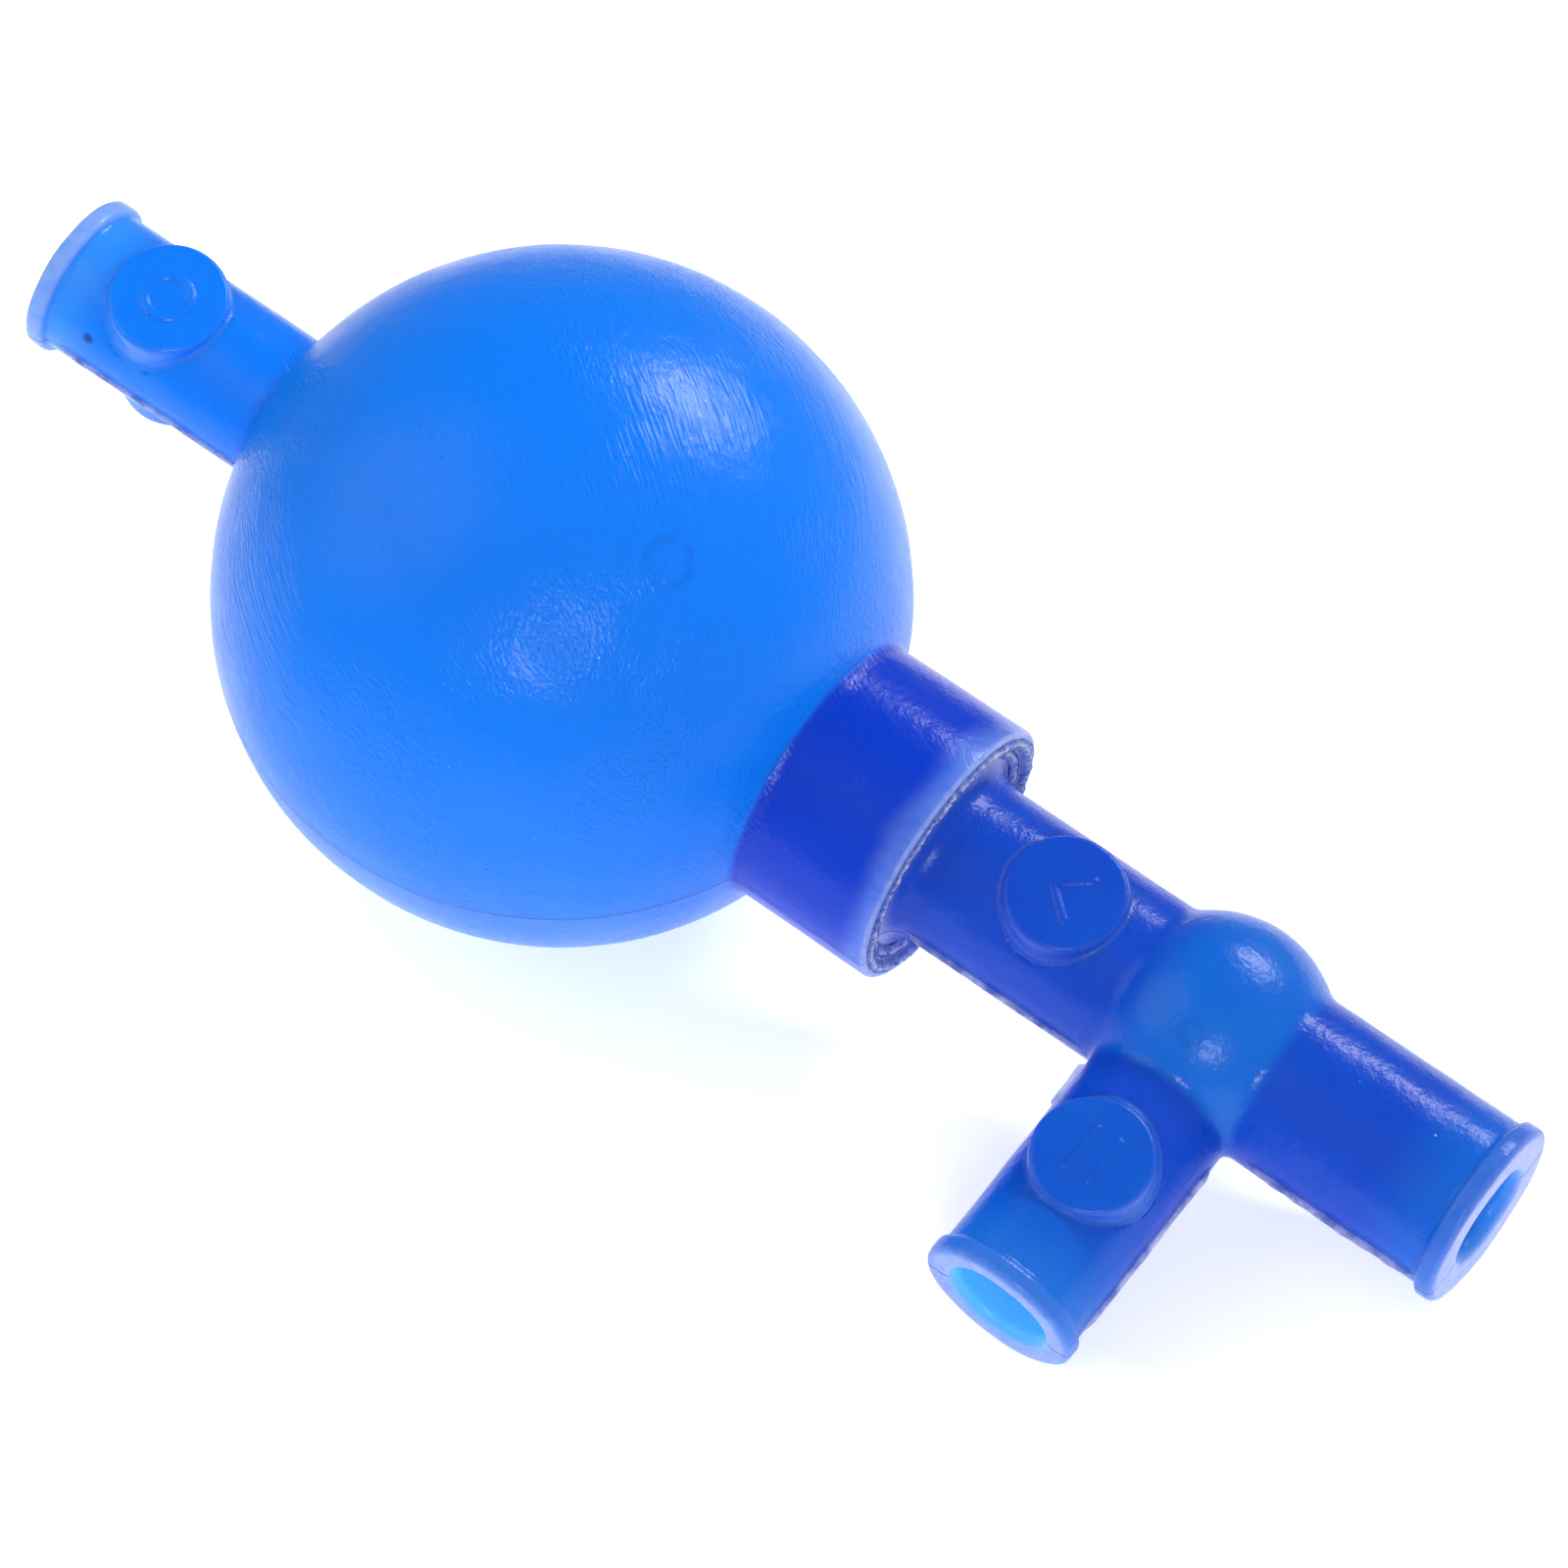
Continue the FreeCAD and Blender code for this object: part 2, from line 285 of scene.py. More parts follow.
def run(start, end, count):
    """count points from start up to, but not at, end."""
    t = np.arange(count)[:, None] / count
    return np.asarray(start) + (np.asarray(end) - np.asarray(start)) * t


def arc(centre, radius, start, end, count):
    """count points of an arc, angles in degrees, up to but not at its end."""
    a = np.radians(start + (end - start) * np.arange(count) / count)
    return np.stack([centre[0] + radius * np.cos(a), centre[1] + radius * np.sin(a)], 1)


# ---- distances -------------------------------------------------------------------------------
def tube(p, radius, start, end, k=0.25):
    """Rod on the X axis with rounded ends."""
    side = np.hypot(p[:, 1], p[:, 2]) - radius
    return smooth_max(side, np.maximum(start - p[:, 0], p[:, 0] - end), k)


def flare(x, end):
    """How much wider a bore is at x than further in, when its lip is at x = end."""
    return MOUTH_FLARE * ramp(x, end - 1.0, end + 0.1)


def mouth(p, radius, end, depth):
    """Bore of an open end at x = end, widened towards its lip."""
    return tube(p, radius + flare(p[:, 0], end), end - depth, end + 9)


def ball(p, centre, radius):
    return np.linalg.norm(p - np.asarray(centre), axis=1) - radius


def branch_frame(p):
    """The side branch's own frame: its axis as +X, its root at the junction."""
    return np.stack([-p[:, 1], p[:, 0] - JUNCTION_X, p[:, 2]], 1)


def shifted(p, x):
    return p - np.array([x, 0, 0])


def at_a_valve(p):
    """Points of the filler's frame in the frame of a valve: its tube along X, its pads along Z."""
    return shifted(p, A_VALVE)


def at_s_valve(p):
    return shifted(p, S_VALVE)


def at_e_valve(p):
    return shifted(branch_frame(p), E_VALVE)


def rimmed_end(p, outside, end, rim_r, seed):
    """outside with a rounded band round its end at x = end, a little uneven as moulded."""
    along = np.abs(p[:, 0] - end + RIM_LENGTH / 2) - RIM_LENGTH / 2 + RIM_ROUND
    across = np.hypot(p[:, 1], p[:, 2]) - rim_r + RIM_ROUND + 0.05 * ripple(p, 7.0, seed)
    beyond = np.hypot(np.maximum(along, 0), np.maximum(across, 0))
    band = beyond + np.minimum(np.maximum(along, across), 0)
    return smooth_min(outside, band - RIM_ROUND, 0.25)


def boss(p, tube_r):
    """Round flat-topped bosses of a valve at the origin of p, front and rear."""
    side = np.hypot(p[:, 0], p[:, 1]) - PAD_R
    return smooth_max(side, np.abs(p[:, 2]) - tube_r - PAD_RISE, PAD_TOP_ROUND)


def well_side(p):
    """Distance from the round side of a valve's two wells."""
    return np.hypot(p[:, 0], p[:, 1]) - PAD_CUT_R


def well(p, tube_r):
    """Room for a pad at the origin of p, front and rear, over a core round the glass ball."""
    height = np.abs(p[:, 2])
    core = tube_r + PAD_RISE - PAD_SKIN - 0.05 - np.hypot(p[:, 1], height + PAD_TRAVEL)
    return np.maximum(np.maximum(well_side(p), core), 0.5 - height)


def a_tube_outside(p):
    """Air-outlet tube, from inside the ball's wall to its open end."""
    q = p * np.array([-1, 1, 1])
    solid = rimmed_end(q, tube(q, A_TUBE_R, BALL_R - 2.6, -A_END), -A_END, A_RIM_R, 1.0)
    return smooth_min(solid, boss(at_a_valve(p), A_TUBE_R), PAD_FOOT_ROUND) + 0.03 * ripple(p, 8.0)


def a_tube_field(p):
    q = p * np.array([-1, 1, 1])
    bore = smooth_min(tube(q, AIRWAY_R, 0, -A_END), mouth(q, A_MOUTH_R, -A_END, A_BORE_DEPTH), 0.4)
    bore = np.minimum(bore, ball(q, (-A_VALVE, 0, 0), POCKET_R))
    solid = smooth_max(a_tube_outside(p), -bore, BORE_ROUND)
    return np.maximum(solid, -well(at_a_valve(p), A_TUBE_R))


def tee_outside(p):
    """T-piece: plug, stem, junction, side branch and pipette socket."""
    q = branch_frame(p)
    plug = tube(p, COLLAR_BORE_R, PLUG_START, PLUG_END, 0.5)
    stem = smooth_min(plug, tube(p, STEM_R, PLUG_START, JUNCTION_X), 2.6)
    socket = rimmed_end(p, tube(p, P_TUBE_R, JUNCTION_X, P_END), P_END, P_RIM_R, 2.0)
    branch = rimmed_end(q, tube(q, E_TUBE_R, 0, E_END), E_END, E_RIM_R, 3.0)
    arms = smooth_min(np.minimum(stem, socket), branch, 0.7)
    solid = smooth_min(arms, ball(p, (JUNCTION_X, 0, 0), JUNCTION_R), 0.55)
    solid = smooth_min(solid, boss(at_s_valve(p), STEM_R), PAD_FOOT_ROUND)
    solid = smooth_min(solid, boss(at_e_valve(p), E_TUBE_R), PAD_FOOT_ROUND)
    return solid + 0.045 * ripple(p, 9.0)


def tee_field(p):
    q = branch_frame(p)
    airway = smooth_min(tube(p, AIRWAY_R, 0, P_END), tube(q, AIRWAY_R, 0, E_END), 0.5)
    airway = smooth_min(airway, ball(p, (JUNCTION_X, 0, 0), HUB_HOLLOW_R), 0.5)
    airway = smooth_min(airway, mouth(p, P_SOCKET_R, P_END, P_BORE_DEPTH), 0.5)
    airway = smooth_min(airway, mouth(q, E_MOUTH_R, E_END, E_BORE_DEPTH), 0.5)
    airway = np.minimum(airway, ball(p, (S_VALVE, 0, 0), POCKET_R))
    airway = np.minimum(airway, ball(q, (E_VALVE, 0, 0), POCKET_R))
    solid = smooth_max(tee_outside(p), -airway, BORE_ROUND)
    solid = np.maximum(solid, -well(at_s_valve(p), STEM_R))
    return np.maximum(solid, -well(at_e_valve(p), E_TUBE_R))


def segment(p, start, end):
    """Distance in the pad's plane from a line between two points."""
    a, b = np.array(start), np.array(end)
    t = np.clip(((p[:, :2] - a) @ (b - a)) / ((b - a) @ (b - a)), 0, 1)
    return np.linalg.norm(p[:, :2] - a - t[:, None] * (b - a), axis=1)


def ring_mark(p):
    return np.abs(np.hypot(p[:, 0], p[:, 1]) - 2.0)


def chevron_mark(p):
    return np.minimum(segment(p, (-1.4, 0), (1.3, 2.2)), segment(p, (-1.4, 0), (1.3, -2.2)))


def bars_mark(p):
    return np.minimum(segment(p, (-2.1, 1.1), (2.1, 1.1)), segment(p, (-2.1, -1.1), (2.1, -1.1)))


def pad_field(outside, local, side, tube_r, mark):
    """One pad: what the outside holds within the well, hollowed to the tube's curve. Also its
    skin and its side, whose crossing is the pad's edge."""
    top = tube_r + PAD_RISE

    def skin(p):
        q = local(p)
        relief = MARK_RISE * (1 - ramp(mark(q), 0.16, 0.42)) * (side * q[:, 2] > 0)
        return outside(p) - relief - PAD_LIFT

    def cut(p):
        lip = PAD_LIP * ramp(outside(p), -0.2, -0.1)
        return well_side(local(p)) - PAD_GRIP - lip

    def field(p):
        q = local(p)
        height = side * q[:, 2]
        under = top - PAD_SKIN - np.hypot(q[:, 1], np.maximum(height, 0))
        return np.maximum(np.maximum(skin(p), cut(p)), np.maximum(under, 0.5 - height))

    return field, skin, cut


# ---- node graphs -------------------------------------------------------------------------------
def colour(code):
    """Linear colour of an sRGB code such as 1E78F5."""
    parts = [int(code[i:i + 2], 16) / 255 for i in (0, 2, 4)]
    return [c / 12.92 if c < 0.04045 else ((c + 0.055) / 1.055) ** 2.4 for c in parts] + [1.0]


class Graph:
    """A material's nodes, added one call at a time."""

    def __init__(self, name):
        self.material = bpy.data.materials.new(name)
        self.material.use_nodes = True
        self.tree = self.material.node_tree
        self.tree.nodes.clear()

    def add(self, kind, inputs=None, **settings):
        made = self.tree.nodes.new("ShaderNode" + kind)
        for key, value in settings.items():
            setattr(made, key, value)
        for key, value in (inputs or {}).items():
            if isinstance(value, bpy.types.NodeSocket):
                self.tree.links.new(value, made.inputs[key])
            else:
                made.inputs[key].default_value = value
        return made

    def value(self, name):
        return self.add("Attribute", attribute_name=name).outputs["Fac"]

    def place(self):
        """The point in the filler's frame, mm."""
        return self.add("Attribute", attribute_name="place").outputs["Vector"]

    def strands(self, long, fine, turn):
        """The point, turned and divided by a long and a fine size, for streaks along one way."""
        inputs = {"Vector": self.place(), "Rotation": turn, "Scale": (long, fine, fine)}
        return self.add("Mapping", inputs, vector_type="TEXTURE").outputs["Vector"]

    def noise(self, scale, detail=3.0, vector=None, rough=0.5):
        inputs = {"Vector": vector or self.place(), "Scale": scale, "Detail": detail,
                  "Roughness": rough}
        return self.add("TexNoise", inputs).outputs["Fac"]

    def spots(self, scale, size, share):
        """Small round spots, in the given share of cells about 1/scale mm wide."""
        cells = self.add("TexVoronoi", {"Vector": self.place(), "Scale": scale})
        near = self.band(cells.outputs["Distance"], size, size * 0.5)
        pick = self.add("SeparateColor", {"Color": cells.outputs["Color"]}).outputs["Red"]
        return self.math("MULTIPLY", near, self.math("LESS_THAN", pick, share))

    def near(self, value, target, inner, outer):
        """1 where value is within inner of target, 0 beyond outer."""
        return self.band(self.math("ABSOLUTE", self.math("SUBTRACT", value, target)), outer, inner)

    def away(self, point):
        """Distance from a point of the filler's frame, mm."""
        node = self.add("VectorMath", {0: self.place(), 1: point}, operation="DISTANCE")
        return node.outputs["Value"]

    def times(self, *values):
        product = values[0]
        for value in values[1:]:
            product = self.math("MULTIPLY", product, value)
        return product

    def band(self, value, start, end):
        """0 at start, 1 at end, smooth between."""
        inputs = {"Value": value, "From Min": start, "From Max": end}
        return self.add("MapRange", inputs, interpolation_type="SMOOTHSTEP").outputs["Result"]

    def math(self, how, a, b=0.0, c=0.0):
        return self.add("Math", {0: a, 1: b, 2: c}, operation=how).outputs[0]

    def mix(self, share, a, b):
        """Colour between a and b. The colour sockets of a Mix node are its inputs 6 and 7."""
        node = self.add("Mix", {0: share, 6: a, 7: b}, data_type="RGBA")
        return node.outputs[2]

    def bump(self, height, distance, normal=None):
        inputs = {"Height": height, "Distance": distance}
        if normal is not None:
            inputs["Normal"] = normal
        return self.add("Bump", inputs).outputs["Normal"]

    def finish(self, inputs):
        shader = self.add("BsdfPrincipled", inputs)
        self.add("OutputMaterial", {"Surface": shader.outputs[0]})
        return self.material


STREAK_TURN = (0.0, 0.05, -0.62)     # the brush marks run along the filler, turned towards -Y
BALL_GATE = (13.9, -2.1, 26.5)       # middles and radii of the ring marks left by the mould's gates
BALL_GATE_R = 1.9
TEE_GATE = (69.0, -4.6, 9.2)
TEE_GATE_R = 0.9
SMUDGE = (-46.8, -5.8, 3.2)


def silicone(name, deep, body, bright, gloss, brushed, orange_peel):
    """Translucent silicone. Where it is thick it looks deep. Where it is hollow or thin, and in its
    bores, it is painted bright: painted light that comes through the wall. Its rims and thin ends
    are painted pale, painted light glowing through them; on its cut faces the pale is partly their
    own chalky colour and partly that painted light. A glow in the bores stands for light that comes
    through the wall. gloss is its least roughness, brushed and orange_peel how strong its two
    textures are."""
    g = Graph(name)
    skin = g.value("skin")
    cloud = g.math("MULTIPLY_ADD", g.noise(0.11, 2.0), 0.5, -0.25)
    fine_cloud = g.noise(0.9, 5.0, rough=0.65)
    tone = g.add("Clamp", {"Value": g.math("ADD", g.value("tone"), cloud)}).outputs[0]
    base = g.mix(tone, deep, body)
    # Painted light that comes through thin walls and into the bores.
    base = g.mix(g.value("bright"), base, bright)
    # Painted pale: light glowing through thin rims and ends, and on cut faces partly their own colour.
    mottling = g.math("MULTIPLY_ADD", g.band(fine_cloud, 0.25, 0.6), 0.45, 0.55)
    base = g.mix(g.times(g.value("pale"), mottling), base, colour("B9C4F0"))

    # Painted shade along the seam, marks of the mould's gates, a smudge, and specks of dirt and dust.
    split = g.add("SeparateXYZ", {"Vector": g.place()})
    x, y, z = (split.outputs[axis] for axis in "XYZ")
    seam = g.times(g.near(z, PARTING_Z, 0.05, 0.16), skin)
    ball_gate = g.near(g.away(BALL_GATE), BALL_GATE_R, 0.1, 0.7)
    tee_gate = g.near(g.away(TEE_GATE), TEE_GATE_R, 0.1, 0.5)
    gates = g.times(g.math("ADD", ball_gate, tee_gate), g.band(fine_cloud, 0.3, 0.6))
    smudge = g.near(g.away(SMUDGE), 0.0, 0.2, 0.75)
    marks = g.math("MAXIMUM", g.times(gates, 0.16), g.times(smudge, 0.8))
    # The seam is painted darker, as shade in its groove; the gate marks and the smudge are darker
    # marks.
    seam_shade_and_marks = g.math("MAXIMUM", g.times(seam, 0.55), marks)
    base = g.mix(seam_shade_and_marks, base, colour("0A2A8C"))
    base = g.mix(g.times(g.spots(0.42, 0.045, 0.36), 0.8), base, colour("0B1C50"))
    base = g.mix(g.times(g.spots(0.30, 0.03, 0.22), skin, 0.8), base, colour("DCE6FF"))

    # A row of small bubbles along the front of the pipette socket.
    row = g.times(g.near(y, 0.5, 0.12, 0.3), g.band(x, 79.0, 82.0), g.band(z, 7.0, 7.5))
    base = g.mix(g.times(g.spots(1.05, 0.15, 0.7), row, 0.6), base, colour("B8CCFA"))

    # Relief: brush marks, orange peel, slow wrinkles and the seam.
    strand = g.noise(1.0, 2.0, g.strands(6.0, 0.3, STREAK_TURN), 0.5)
    brushing = g.math("MULTIPLY_ADD", g.band(g.noise(0.09, 3.0), 0.42, 0.62), 0.8, 0.4)
    on_ball = g.near(g.away((0, 0, 0)), BALL_R, 0.4, 2.0)
    on_ball = g.math("MULTIPLY_ADD", on_ball, 0.85, 0.15)
    peel = g.noise(1.9, 2.0, rough=0.55)
    wrinkle = g.noise(0.42, 3.0, rough=0.55)
    rough = g.math("MULTIPLY_ADD", g.noise(0.2, 3.0), 0.12, gloss)
    normal = g.bump(wrinkle, 0.0001)
    normal = g.bump(peel, 0.00005 * orange_peel, normal=normal)
    normal = g.bump(g.times(strand, brushing, on_ball), 0.00014 * brushed, normal=normal)
    normal = g.bump(g.times(seam, -1.0), 0.00012, normal=normal)
    return g.finish({
        "Base Color": base, "Roughness": rough, "Normal": normal, "IOR": 1.42,
        "Specular IOR Level": 0.28, "Emission Color": bright,
        "Emission Strength": g.times(g.value("glow"), 0.55),
        "Subsurface Weight": 0.35, "Subsurface Radius": (0.2, 0.5, 1.0), "Subsurface Scale": 0.0009,
    })


AZURE = silicone("azure_silicone", colour("003CC8"), colour("067EF8"), colour("48A4FF"),
                 gloss=0.19, brushed=1.0, orange_peel=0.5)
ROYAL = silicone("royal_silicone", colour("0C48C6"), colour("0C6ED6"), colour("48A0F0"),
                 gloss=0.2, brushed=0.25, orange_peel=1.0)


def flash_material():
    """Thin flash squeezed out at the mould's parting line: nearly colourless silicone."""
    g = Graph("silicone_flash")
    tint = g.mix(g.band(g.noise(0.6, 3.0), 0.35, 0.6), colour("8EA0DC"), colour("DADFF6"))
    return g.finish({
        "Base Color": tint, "Roughness": 0.3, "Normal": g.bump(g.noise(2.0, 2.0), 0.0001),
        "IOR": 1.42, "Transmission Weight": 0.7,
    })


def glass_material():
    g = Graph("valve_glass")
    tint = g.mix(g.noise(0.5, 2.0), colour("CFE6F2"), colour("E8F4FA"))
    return g.finish({"Base Color": tint, "Roughness": 0.03, "IOR": 1.5, "Transmission Weight": 1.0})


def glue_material():
    """Dried glue: whitish on its crests, clear enough elsewhere to look as blue as what is under it."""
    g = Graph("dried_glue")
    crust = g.noise(1.7, 6.0, rough=0.75)
    whitish = g.times(g.value("crest"), g.band(crust, 0.4, 0.56))
    bluish = g.mix(g.band(crust, 0.35, 0.65), colour("1C4CC4"), colour("5C82DC"))
    tint = g.mix(whitish, bluish, colour("D6E0FA"))
    return g.finish({
        "Base Color": tint, "Roughness": 0.42, "Normal": g.bump(crust, 0.00035),
        "Subsurface Weight": 0.4, "Subsurface Radius": (0.5, 0.7, 1.0), "Subsurface Scale": 0.0006,
    })


def dress(piece, material, slot):
    """Give a piece its look. slot is not used."""
    piece.data.materials.append(material)
    return piece


# ---- bulb ----------------------------------------------------------------------------------------
def bulb_angles():
    """Angles round the bulb, closer together at the parting line on either side."""
    near = np.radians(2.4 * np.linspace(0, 1, 15)[:-1] ** 1.3)
    far = np.radians(np.linspace(2.4, 90, 62))
    quarter = np.concatenate([near, far])
    half = np.concatenate([quarter, math.pi - quarter[::-1][1:]])
    return np.concatenate([half, half[1:-1] + math.pi])


def bulb_profile():
    """Closed outline of ball and collar, hollow inside. Angles are in degrees from +X."""
    start = 178.0                        # just off the ball's pole, which the A tube covers
    seat = math.degrees(math.asin(COLLAR_R / BALL_R)) + 1.3     # where the collar's crease starts
    inner_r = BALL_R - BALL_WALL
    bore = math.degrees(math.asin(COLLAR_BORE_R / inner_r))
    seat_point = (BALL_R * math.cos(math.radians(seat)), BALL_R * math.sin(math.radians(seat)))
    neck_x = COLLAR_ROOT + 0.75
    bore_point = (inner_r * math.cos(math.radians(bore)), COLLAR_BORE_R)
    parts = [
        arc((0, 0), BALL_R, start, seat, 140),
        run(seat_point, (seat_point[0] + 0.2, seat_point[1] - 0.35), 2),
        run((seat_point[0] + 0.2, seat_point[1] - 0.35), (neck_x, COLLAR_R), 3),
        run((neck_x, COLLAR_R), (COLLAR_END - 0.4, COLLAR_R + 0.05), 26),
        arc((COLLAR_END - 0.4, COLLAR_R - 0.35), 0.4, 90, 0, 6),
        run((COLLAR_END, COLLAR_R - 0.35), (COLLAR_END - 0.1, COLLAR_BORE_R + 0.15), 5),
        run((COLLAR_END - 0.3, COLLAR_BORE_R), bore_point, 16),
        arc((0, 0), inner_r, bore, start, 60),
    ]
    return np.concatenate(parts)


def bulb():
    """Ball and collar in one skin, with the seam's low ridge."""
    points, faces = lathe(bulb_profile(), bulb_angles())
    ball_r = np.linalg.norm(points, axis=1)
    skin = ball_r > BALL_R - 1
    ridge = 0.04 * np.exp(-((points[:, 2] - PARTING_Z) / 0.5) ** 2)
    push = skin * (ridge + 0.05 * ripple(points, 17.0))
    outward = points / np.maximum(ball_r, 1)[:, None]
    on_collar = points[:, 0] > COLLAR_ROOT + 0.5
    radial = points * np.array([0, 1, 1])
    radial = radial / np.maximum(np.linalg.norm(radial, axis=1), 1)[:, None]
    points = points + push[:, None] * np.where(on_collar[:, None], radial, outward)
    x = points[:, 0]
    # Towards the collar's lip the colour is lighter, with painted light (bright, pale) on it, and the
    # lip's face is painted pale.
    toward_lip = ramp(x + 0.5 * ripple(points, 9.0, 2.0), 37.8, 40.4)
    values = {
        "skin": skin, "glow": 0 * x,
        "tone": 1.15 - 1.3 * ramp(x, COLLAR_ROOT - 0.5, COLLAR_ROOT + 0.6) + 0.35 * toward_lip,
        "bright": 0.12 * toward_lip,
        "pale": 0.17 * toward_lip + 0.45 * ramp(x, COLLAR_END - 0.5, COLLAR_END - 0.1),
    }
    made = dress(make_object("silicone_bulb", points, faces, **values), AZURE, "bulb_rubber")
    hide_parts("bulb_body", "bulb_collar", "bulb_front_wall")
    row_point(0, 0, 12.6)
    row_point(0, 0, BALL_R)
    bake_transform(made)
    return made


def tube_end(x, r, end, rim_r, mouth_r, depth, rim_light, face_chalk_and_light):
    """How pale a tube is painted at its open end, where its bore is, and the glow in it. The first of
    the last two numbers is for the rim's band, whose pale is painted light glowing through it, and
    the second for the cut face, whose pale is partly its own chalky colour and partly painted light."""
    inside = (r < mouth_r + 0.3 + flare(x, end)) & (x > end - depth)
    face = ramp(r, mouth_r + 0.2, mouth_r + 0.75) * ramp(x, end - 0.65, end - 0.2)
    face = face * (1 - 0.65 * ramp(r, rim_r - 0.8, rim_r - 0.3))
    rim = ramp(x, end - RIM_LENGTH - 0.1, end - RIM_LENGTH + 0.2) * ramp(r, rim_r - 0.6, rim_r - 0.3)
    glow = inside * ramp(x, end - depth, end - 0.8) * (1 - 0.9 * ramp(r, mouth_r + 0.1, mouth_r + 0.6))
    return np.maximum(rim_light * rim, face_chalk_and_light * face), inside, glow


def a_tube():
    """Air-outlet tube, with the wells of its pads."""
    skins = [(a_tube_outside, lambda p: well_side(at_a_valve(p)))]
    low, high = (A_END - 0.95, -8.15, -8.15), (-25.95, 8.25, 8.25)
    points, faces = surface(a_tube_field, low, high, A_TUBE_CELL, skins)
    r, x = np.hypot(points[:, 1], points[:, 2]), -points[:, 0]
    pale, inside, glow = tube_end(x, r, -A_END, A_RIM_R, A_MOUTH_R, depth=8.0, rim_light=0.45, face_chalk_and_light=0.4)
    # The bore and the part near the mouth are painted bright: painted light through the wall.
    values = {
        "skin": np.abs(a_tube_outside(points)) < 0.1, "tone": 1.1 + 0 * x,
        "bright": np.where(inside, 1.0, 0.5 * ramp(x, 45, 51.5)), "glow": glow, "pale": pale,
    }
    made = dress(make_object("silicone_air_outlet", points, faces, **values), AZURE, "bulb_rubber")
    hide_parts("air_outlet_tube")
    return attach(made, FILLER)


def tee():
    """T-piece, with the wells of the pads of valves S and E."""
    skins = [(tee_outside, lambda p: well_side(at_s_valve(p))),
             (tee_outside, lambda p: well_side(at_e_valve(p)))]
    low, high = (PLUG_START - 0.89, -E_END - 0.89, -11.09), (P_END + 1.11, 11.31, 11.31)
    points, faces = surface(tee_field, low, high, TEE_CELL, skins)
    q = branch_frame(points)
    r, s = np.hypot(points[:, 1], points[:, 2]), np.hypot(q[:, 1], q[:, 2])
    x, y = points[:, 0], q[:, 0]
    hub = np.linalg.norm(points - np.array([JUNCTION_X, 0, 0]), axis=1)
    pale_p, in_p, glow_p = tube_end(
        x, r, P_END, P_RIM_R, P_SOCKET_R, depth=P_BORE_DEPTH, rim_light=0.08, face_chalk_and_light=0.5)
    pale_e, in_e, glow_e = tube_end(
        y, s, E_END, E_RIM_R, E_MOUTH_R, depth=12.0, rim_light=0.05, face_chalk_and_light=0.42)
    beside = s > 9.5                         # in line with the plug and the socket, off the branch
    inside = (in_p & beside) | (in_e & (y > 12))
    shoulder = ramp(r, 8.2, 9.6) * ramp(x, PLUG_END - 0.3, PLUG_END) * (x < PLUG_END + 3)
    hub_tone = 1.1 * (1 - ramp(hub, 9.9, 11.2)) * ramp(x, 60, 67)
    # Bores, and the branch near its end, are painted bright: painted light through the wall. The plug's
    # shoulder is painted pale.
    values = {
        "skin": np.abs(tee_outside(points)) < 0.1,
        "tone": hub_tone + 0.65 * ramp(x, 86, 95) + 0.7 * ramp(y, 18, 28),
        "bright": np.where(inside, np.where(beside, 0.4, 1.0), 0.15 * ramp(y, 24, 30)),
        "glow": np.where(beside, 0.22 * glow_p, 0.8 * glow_e),
        "pale": np.maximum(np.maximum(pale_p * beside, pale_e * (y > 12)), 0.55 * shoulder),
    }
    made = dress(make_object("silicone_tee", points, faces, **values), ROYAL, "tee_rubber")
    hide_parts("suction_stem", "junction_bulb", "release_tube", "pipette_tube")
    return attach(made, FILLER)


# ---- pads -----------------------------------------------------------------------------------------
def pads(valve, tube_r, mark, outside, local, centre, material, slot, tone):
    """Front and rear pad of a valve, cut out of the outside of its tube. local turns points of the
    filler's frame into the valve's, and centre is the valve's place in the filler's plane."""
    reach = PAD_CUT_R + 0.5
    for side_name, side in (("front", 1), ("rear", -1)):
        field, skin, cut = pad_field(outside, local, side, tube_r, mark)
        heights = sorted((side * 1.0, side * (tube_r + PAD_RISE + 0.6)))
        low = (centre[0] - reach, centre[1] - reach, heights[0])
        high = (centre[0] + reach, centre[1] + reach, heights[1])
        points, faces = surface(field, low, high, PAD_CELL, [(skin, cut)])
        q = local(points)
        r, height = np.hypot(q[:, 0], q[:, 1]), side * q[:, 2]
        # The side wall is painted a little pale: painted light on it.
        wall = ramp(r, PAD_R - 0.35, PAD_R - 0.1) * ramp(height, tube_r * 0.4, tube_r * 0.5)
        values = {"skin": np.abs(skin(points)) < 0.1, "tone": tone + 0 * r, "bright": 0 * r,
                  "glow": 0 * r, "pale": 0.04 * wall}
        body = f"{valve}_{side_name}_pad"
        made = make_object(f"{valve}_{side_name}_button", points, faces, **values)
        dress(made, material, slot)
        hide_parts(body)
        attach(made, body)


